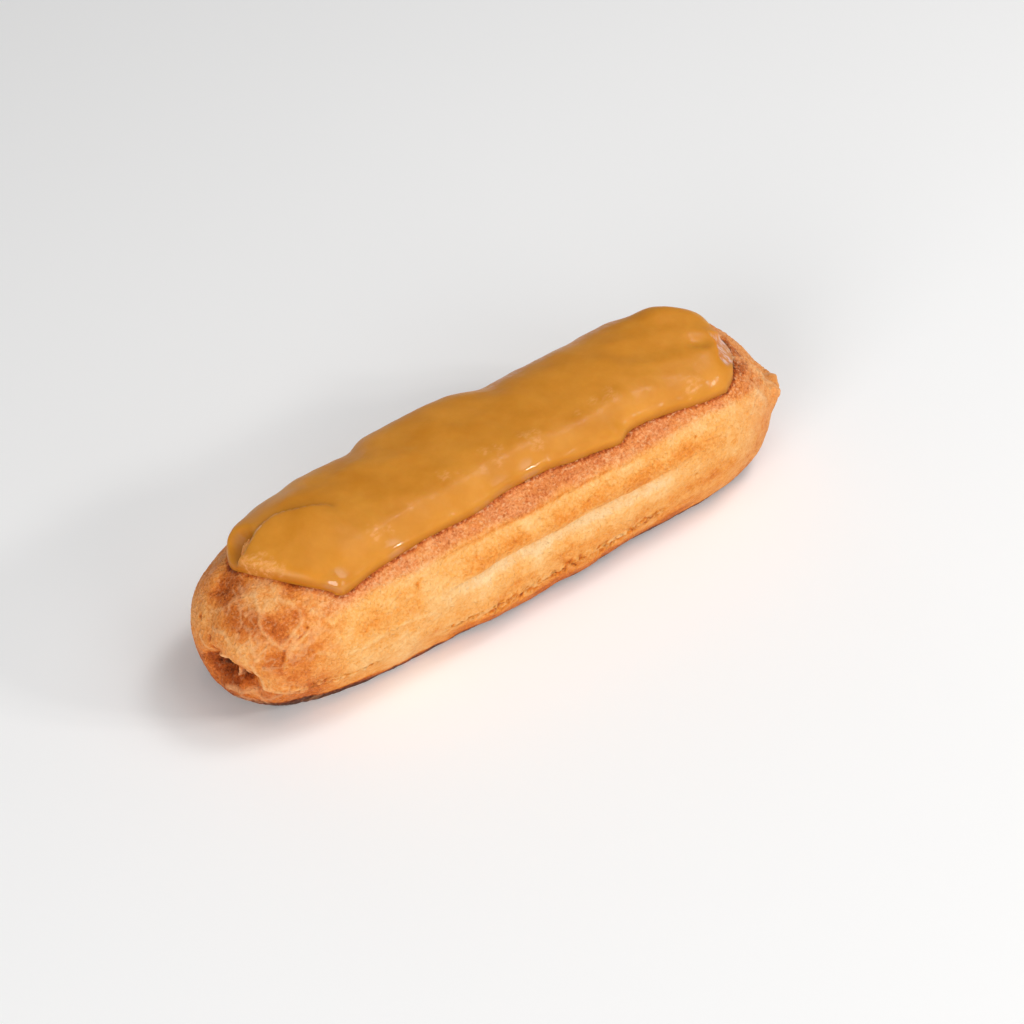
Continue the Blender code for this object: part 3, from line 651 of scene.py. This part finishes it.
def makeRim(steps=150, smoothing=5):  # points all round the edge, with the rim's width and steepness at each
    nearSide, farEnd, farSide, nearEnd = icing["rims"]
    loop = [(share, 0.0, nearSide) for share in stepsUpTo(steps)]
    loop += [(1.0, share, farEnd) for share in stepsUpTo(steps // 2)]
    loop += [(1 - share, 1.0, farSide) for share in stepsUpTo(steps)]
    loop += [(0.0, 1 - share, nearEnd) for share in stepsUpTo(steps // 2)]
    places = [bunSurface(*icingPlace(u, v))[0] for u, v, _ in loop]
    rims = []
    for point, (u, v, width) in zip(places, loop):
        share = icing["farShare"]
        if v < 0.5 and u > 0 or u == 1:
            share = icing["quickShare"] * (1 + 1.6 * noise.noise(Vector((point.x / 4, 4, 2))))
        if v < 0.5:
            for x, wide, reach in icing["rimSpots"]:
                near = 1 - eased(0, reach, abs(point.x - x))
                width += (wide - width) * near
                share += max(icing["fatShare"] - share, 0) * near
        rims.append(Vector((width, share)))
    count, around = len(rims), range(-smoothing, smoothing + 1)
    rims = [
        sum((rims[(index + shift) % count] for shift in around), Vector((0, 0))) / len(around)
        for index in range(count)
    ]
    tree = KDTree(count)
    for index, point in enumerate(places):
        tree.insert(point, index)
    tree.balance()
    return tree, places, rims


rimTree, rimPlaces, rimShapes = makeRim()


def rimAway(point):  # distance from the icing's edge, and the width and share of its rounding there
    _, index, near = rimTree.find(point)
    if near > 9:
        return near, rimShapes[index]
    count = len(rimPlaces)
    before, here, after = (rimPlaces[(index + shift) % count] for shift in (-1, 0, 1))
    return min(awayFrom(point, before, here), awayFrom(point, here, after)), rimShapes[index]


def lapHeight(away, side, width):  # rises gently to the lap's edge, drops off it and comes back level
    if side < 0:
        return math.exp(-((away / width) ** 2))
    return (1 - 1.5 * eased(0, 1.3, away)) * (1 - eased(1.6, width, away))


def lapDetail(point):  # height, wetness, painted highlight and painted shade of the lap and of the pocket under it
    spot = Vector((point.x, point.y))
    points, height, width = lap
    gap, side = polyAway(spot, points)
    lift = wet = paintedSheen = paintedShade = 0.0
    if gap < 2.5 * width:
        lift = height * (1 - eased(*icing["lapEnd"], point.x)) * lapHeight(gap, side, width)
        if side > 0:
            wet = 0.9 * (1 - eased(0.4, 1.0, gap)) * window(point.x, *icing["lapShine"], 1.5)
            # the lap's crest gets a painted highlight, and painted shade lies beyond it
            paintedSheen = 0.75 * (1 - eased(0.2, 0.8, gap)) * window(point.x, *icing["lapShine"], 1.0)
            paintedShade = window(gap, 0.8, 2.1, 0.4) * window(point.x, *icing["lapShade"], 3)
    # the pocket under the lap sinks, and painted shade fills it
    points, radius, height = pocket
    gap = polyAway(spot, points)[0]
    lift += height * (1 - eased(0, radius, gap))
    return lift, wet, paintedSheen, max(paintedShade, 1 - eased(0.2 * radius, 0.9 * radius, gap))


def dropDetail(spot):  # how far the drops stand out, and how wet they are
    lift = wet = 0.0
    for x, turn, radius, rise, gloss in icing["drops"]:
        gap = (spot - onMap(x, turn)).length
        if gap < 1.6 * radius:
            lift += rise * (1 - eased(0, radius, gap))
            wet = max(wet, gloss * (1 - eased(0.5 * radius, 1.1 * radius, gap)))
    return lift, wet


# painted soft highlights round the listed spots
def paintedSheenShare(point, spot):
    paintedSheen = 0.0
    for x, turn, radius, strength in icing["paintedSheen"]:
        if abs(point.x - x) < 1.6 * radius:
            gap = (spot - onMap(x, turn)).length + 0.8 * radius * noise.noise(point / 0.9)
            paintedSheen = max(paintedSheen, strength * (1 - eased(0.1 * radius, radius, gap)))
    return paintedSheen


# where the icing thins to a clear skin at the far end; its whitish streaks are partly a painted highlight
def endFilmAndSheen(point, turn):
    start, low, high = icing["endFilmAndSheen"]
    edge = start + 1.7 * eased(28, 12, turn) + 0.4 * noise.noise(Vector((turn / 5, 1, 1)))
    return eased(edge - 0.3, edge + 0.5, point.x) * window(turn, low, high, 2)


# a dried film along the far edge, whose whitish colour is partly a painted reflection of the backdrop
def sideFilmAndSheen(point, turn):
    start, end, low, high, share = icing["sideFilmAndSheen"]
    edge = high + 5 * noise.noise(Vector((point.x / 6, 3, 3)))
    edge += 2 * noise.noise(Vector((point.x / 1.5, 6, 3)))
    return share * window(point.x, start, end, 9) * (1 - eased(edge - 5, edge + 1.5, turn)) * (turn > low)


def icingDetail(point, turn):  # height above the crust, and the tones that the finish reads
    away, (width, share) = rimAway(point)
    spot = onMap(point.x, turn)
    drops, dropWet = dropDetail(spot)
    fold, foldWet, lapHighlight, paintedShade = lapDetail(point)
    size, height, low, high = icing["lumps"]
    relief = drops + fold
    relief += height * noise.noise(point / size + Vector((6, 2, 2))) * window(turn, low, high, 5)
    relief += icing["waveHeight"] * noise.noise(point / icing["waveSize"] + Vector((7, 3, 5)))
    relief += sum(height * noise.noise(point / size) for size, height in icing["ripples"])
    relief += bumpSum(point, icingBumps)
    for points, radius, height in strokes:
        relief += height * (1 - eased(0, radius, polyAway(Vector((point.x, point.y)), points)[0]))
    quick = math.sqrt(1 - (1 - min(away / width, 1)) ** 2)
    slow = 1 - (1 - min(away / icing["slowWidth"], 1)) ** 2
    full = quick * (share + (1 - share) * slow) * (icing["thickness"] + icing["reach"] + relief)
    filmAndSheen = endFilmAndSheen(point, turn)
    full -= filmAndSheen * max(full - icing["filmThickness"], 0)
    return icing["foot"] + full, {
        "thinAndShaded": 1 - eased(0.2, 1.4, away), "filmAndSheen": max(filmAndSheen, sideFilmAndSheen(point, turn)), "paintedShade": paintedShade,
        "wet": max(dropWet, foldWet), "paintedSheen": max(paintedSheenShare(point, spot), lapHighlight),
    }


def closerAtEnds(share):
    return 0.35 * share + 0.65 * (0.5 - 0.5 * math.cos(math.pi * share))


def makeIcing():
    bm = bmesh.new()
    layers = {name: bm.verts.layers.float.new(name) for name in ("thinAndShaded", "filmAndSheen", "wet", "paintedSheen", "paintedShade")}
    bmesh.ops.create_grid(bm, x_segments=icing["along"], y_segments=icing["across"], size=1)
    top = bmesh.ops.extrude_face_region(bm, geom=bm.faces[:], use_keep_orig=True)["geom"]
    raised = {item for item in top if isinstance(item, bmesh.types.BMVert)}
    for vert in bm.verts:
        u = round(closerAtEnds((vert.co.x + 1) / 2), 6)
        v = round(closerAtEnds((vert.co.y + 1) / 2), 6)
        run, angle = icingPlace(u, v)
        point, way = bunSurface(run, angle)
        lift, tones = icingDetail(point, math.degrees(angle))
        for name, layer in layers.items():
            vert[layer] = tones[name]
        vert.co = point + way * (lift if vert in raised else icing["root"])
    inner = [vert for vert in raised if all(edge.other_vert(vert) in raised for edge in vert.link_edges)]
    for x, y, reach in icing["corners"]:
        near = [vert for vert in inner if math.hypot(vert.co.x - x, vert.co.y - y) < reach]
        for _ in range(icing["cornerRounds"]):
            bmesh.ops.smooth_vert(
                bm, verts=near, factor=0.5, use_axis_x=True, use_axis_y=True, use_axis_z=True)
    return finishPiece(bm, "icingCoat", bun["shift"])


# finishes

class Link:  # a node's output that takes part in sums
    def __init__(self, finish, socket):
        self.finish, self.socket = finish, socket

    def maths(self, operation, first, second):
        return self.finish.node("ShaderNodeMath", {"operation": operation}, {0: first, 1: second})

    def __add__(self, other):
        return self.maths("ADD", self, other)

    def __sub__(self, other):
        return self.maths("SUBTRACT", self, other)

    def __rsub__(self, other):
        return self.maths("SUBTRACT", other, self)

    def __mul__(self, other):
        return self.maths("MULTIPLY", self, other)

    __radd__, __rmul__ = __add__, __mul__


class Finish:
    def __init__(self, name, **constants):
        self.material = bpy.data.materials.new(name)
        self.material.use_nodes = True
        self.tree = self.material.node_tree
        self.shader = self.tree.nodes["Principled BSDF"]
        for socket, value in constants.items():
            self.shader.inputs[socket.replace("_", " ")].default_value = value
        self.metres = self.node("ShaderNodeTexCoord", {}, {}, "Object")
        self.place = self.node(
            "ShaderNodeVectorMath", {"operation": "SCALE"}, {0: self.metres, "Scale": 1000})

    def node(self, kind, settings, values, output=0):
        node = self.tree.nodes.new(kind)
        for name, value in settings.items():
            if name == "stops":
                stops = node.color_ramp.elements  # it comes with two
                for index, (position, colour) in enumerate(value):
                    stop = stops.new(position) if index > 1 else stops[index]
                    stop.position, stop.color = position, srgb(*colour)
            else:
                setattr(node, name, value)
        for name, value in values.items():
            if isinstance(value, Link):
                self.tree.links.new(value.socket, node.inputs[name])
            else:
                node.inputs[name].default_value = value
        return Link(self, node.outputs[output])

    def noise(self, size, detail=3, roughness=0.5, stretch=None, distortion=0.0):  # size in millimetres
        place = self.place
        if stretch:
            place = self.node("ShaderNodeVectorMath", {"operation": "MULTIPLY"}, {0: place, 1: stretch})
        values = {"Vector": place, "Scale": 1 / size, "Detail": detail, "Roughness": roughness,
                  "Distortion": distortion}
        return self.node("ShaderNodeTexNoise", {}, values)

    def attribute(self, name):
        return self.node("ShaderNodeAttribute", {"attribute_name": name}, {}, "Fac")

    def between(self, value, low, high):
        return self.node("ShaderNodeMapRange", {"clamp": True}, {0: value, 1: low, 2: high, 3: 0.0, 4: 1.0})

    def ramp(self, value, stops):
        return self.node("ShaderNodeValToRGB", {"stops": stops}, {0: value}, "Color")

    def mix(self, share, first, second):
        values = {0: share, 6: first, 7: second}  # the colour sockets
        return self.node("ShaderNodeMix", {"data_type": "RGBA"}, values, 2)

    def bump(self, height, distance, below=None):  # distance in millimetres
        values = {"Height": height, "Distance": distance / 1000, "Strength": 1.0}
        if below:
            values["Normal"] = below
        return self.node("ShaderNodeBump", {}, values)

    def surface(self, **links):
        for socket, link in links.items():
            self.tree.links.new(link.socket, self.shader.inputs[socket.replace("_", " ")])
        return self.material


def srgb(red, green, blue):  # a screen colour, made linear
    parts = [part / 255 for part in (red, green, blue)]
    return [((part + 0.055) / 1.055) ** 2.4 if part > 0.04 else part / 12.92 for part in parts] + [1.0]


def crustFinish():
    crustLook = Finish("bakedCrust", Specular_IOR_Level=0.16)
    patches = crustLook.noise(7, 3)
    mottle = crustLook.noise(1.8, 4, 0.6)
    grain = crustLook.noise(0.6, 3, 0.6, None, 0.4)
    band = crustLook.attribute("band")
    # this tone carries painted shade and light as well as the bake's colour
    brownAndShade = crustLook.attribute("browningAndShade")
    brownAndShade = brownAndShade + (patches - 0.5) * 0.22 + (mottle - 0.5) * 0.36 - (grain - 0.5) * (band * 0.38 + 0.40)
    colour = crustLook.ramp(brownAndShade, crust["colours"])
    pinker = crustLook.ramp(brownAndShade, crust["pinkerColours"])
    rosy = crustLook.attribute("rosy") * (crustLook.between(crustLook.noise(5, 2), 0.25, 0.6) * 0.5 + 0.5)
    colour = crustLook.mix(rosy, colour, pinker)
    split = crustLook.attribute("split") * 0.7
    colour = crustLook.mix(split, colour, srgb(*crust["seamColour"]))
    flecks = crustLook.between(crustLook.noise(0.65, 2, 0.5, (0.75, 1, 1)), 0.54, 0.70)
    colour = crustLook.mix(flecks * (band * 0.34 + 0.18), colour, srgb(*crust["fleckColour"]))
    specks = crustLook.between(crustLook.noise(0.9, 2, 0.5), 0.62, 0.72)
    colour = crustLook.mix(specks * (band * 0.2 + 0.06), colour, srgb(*crust["speckColour"]))
    creases = crustLook.noise(1.0, 4, 0.6, (0.7, 1, 1), 0.6)
    normal = crustLook.bump(creases, 0.6)
    normal = crustLook.bump(grain, 0.45, normal)
    rough = crustLook.noise(3, 2) * 0.25 + 0.42
    return crustLook.surface(Base_Color=colour, Roughness=rough, Normal=normal)


def icingFinish():
    icingLook = Finish("caramelIcing", Subsurface_Weight=0.35, Subsurface_Scale=0.0025,
                       Subsurface_Radius=(1, 0.45, 0.12), Specular_IOR_Level=0.16, Coat_Roughness=0.065)
    cloud = icingLook.between(icingLook.noise(9, 5, 0.6), 0.3, 0.7)
    dark, light = icing["colours"]
    colour = icingLook.mix(cloud, srgb(*dark), srgb(*light))
    # darker at the rim: thin caramel, and partly painted shade where the rim meets the crust
    colour = icingLook.mix(icingLook.attribute("thinAndShaded") * 0.7, colour, srgb(*icing["thinRimAndShadeColour"]))
    # painted shade beyond the lap's crest and in the pocket under it
    colour = icingLook.mix(icingLook.attribute("paintedShade") * 0.65, colour, srgb(*icing["shadeColour"]))
    # painted soft highlights, broken up by fine scratches
    scratches = icingLook.between(icingLook.noise(0.75, 3, 0.6, (0.6, 1.2, 1.2)), 0.42, 0.60)
    paintedSheen = icingLook.attribute("paintedSheen")
    colour = icingLook.mix(paintedSheen * (scratches * 0.75 + 0.12), colour, srgb(*icing["paintedSheenColour"]))
    # the film's colour and whitish sugar streaks: a dried film, partly a painted reflection along the far
    # edge and a painted highlight at the far end
    filmAndSheen = icingLook.attribute("filmAndSheen")
    colour = icingLook.mix(filmAndSheen * 0.9, colour, srgb(*icing["filmAndSheenColour"]))
    streaks = icingLook.between(icingLook.noise(1.0, 3, 0.6, (1.5, 0.5, 0.5)), 0.44, 0.60)
    colour = icingLook.mix(filmAndSheen * streaks * 0.62, colour, srgb(*icing["sugarAndSheenColour"]))
    rough = icingLook.noise(4, 2) * 0.16 + 0.36
    dry = icingLook.between(icingLook.noise(5, 2), 0.4, 0.62) * 0.07 + 0.01
    gloss = icingLook.attribute("wet") + paintedSheen * 0.10 + dry
    normal = icingLook.bump(icingLook.noise(0.9, 2), 0.035)
    return icingLook.surface(Base_Color=colour, Roughness=rough, Coat_Weight=gloss, Normal=normal)


# the set

camera = {
    "azimuth": -39.3,
    "elevation": 40.0,
    "lens": 100,
    "distance": 606,
    "target": (-0.14, -6.27, 16.0),
}
warm, white = (1, 0.98, 0.95), (1, 1, 1)
lamps = [  # name, towards, distance, size, power, colour
    ("keyLeft", (0.54, -0.71, 0.455), 900, 76, 0.95, warm),
    ("keyRight", (0.63, -0.63, 0.46), 900, 76, 0.95, warm),
    ("low", (0.05, -0.92, 0.34), 1200, 650, 1.9, warm),
    ("overhead", (0.485, -0.07, 0.882), 900, 230, 1.15, white),
    ("top", (0.40, -0.25, 0.88), 1000, 800, 3.2, white),
    ("ceiling", (-0.05, 0.08, 0.99), 1300, 450, 0.6, white),
    ("fill", (-0.8, -0.45, 0.35), 1000, 600, 5.6, white),
    ("backdrop", (0.2, 0.97, 0.14), 1200, 450, 0.6, white),
]
room = {"sky": 0.19, "floor": (0.94, 0.94, 0.94), "floorSize": 4000, "floorRoughness": 0.9}


def makeFloor():
    bm = bmesh.new()
    bmesh.ops.create_grid(bm, x_segments=1, y_segments=1, size=room["floorSize"] / 2)
    floor = finishPiece(bm, "floor")
    paper = bpy.data.materials.new("palePaper")
    paper.use_nodes = True
    paper.node_tree.nodes["Principled BSDF"].inputs["Base Color"].default_value = (*room["floor"], 1)
    paper.node_tree.nodes["Principled BSDF"].inputs["Roughness"].default_value = room["floorRoughness"]
    floor.data.materials.append(paper)


def makeLamps():
    for name, towards, distance, size, power, colour in lamps:
        light = bpy.data.lights.new(name, "AREA")
        light.shape, light.size = "DISK", size / 1000
        light.energy, light.color = power, colour
        holder = bpy.data.objects.new(name, light)
        towards = Vector(towards).normalized()
        holder.location = towards * distance / 1000
        holder.rotation_euler = towards.to_track_quat("Z", "Y").to_euler()
        holder.visible_camera = False
        bpy.context.scene.collection.objects.link(holder)
    world = bpy.data.worlds.new("room")
    world.use_nodes = True
    world.node_tree.nodes["Background"].inputs["Color"].default_value = (1, 1, 1, 1)
    world.node_tree.nodes["Background"].inputs["Strength"].default_value = room["sky"]
    bpy.context.scene.world = world


def makeCamera():
    lens = bpy.data.cameras.new("camera")
    lens.lens, lens.clip_start, lens.clip_end = camera["lens"], 0.01, 20
    holder = bpy.data.objects.new("camera", lens)
    facing, up = math.radians(camera["azimuth"]), math.radians(camera["elevation"])
    back = Vector((math.sin(facing) * math.cos(up), -math.cos(facing) * math.cos(up), math.sin(up)))
    holder.location = (Vector(camera["target"]) + back * camera["distance"]) / 1000
    holder.rotation_euler = back.to_track_quat("Z", "Y").to_euler()
    bpy.context.scene.collection.objects.link(holder)
    bpy.context.scene.camera = holder


makeCamera()
makeLamps()
makeFloor()
bpy.context.scene.view_settings.view_transform = "Standard"

crustPiece = makeCrust()
print("crust made,", len(crustPiece.data.polygons), "faces")
crustPiece.data.materials.append(crustFinish())
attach(crustPiece, "root")
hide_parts("choux_bun")

icingPiece = makeIcing()
print("icing made,", len(icingPiece.data.polygons), "faces")
icingPiece.data.materials.append(icingFinish())
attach(icingPiece, "root")
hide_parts("icing")
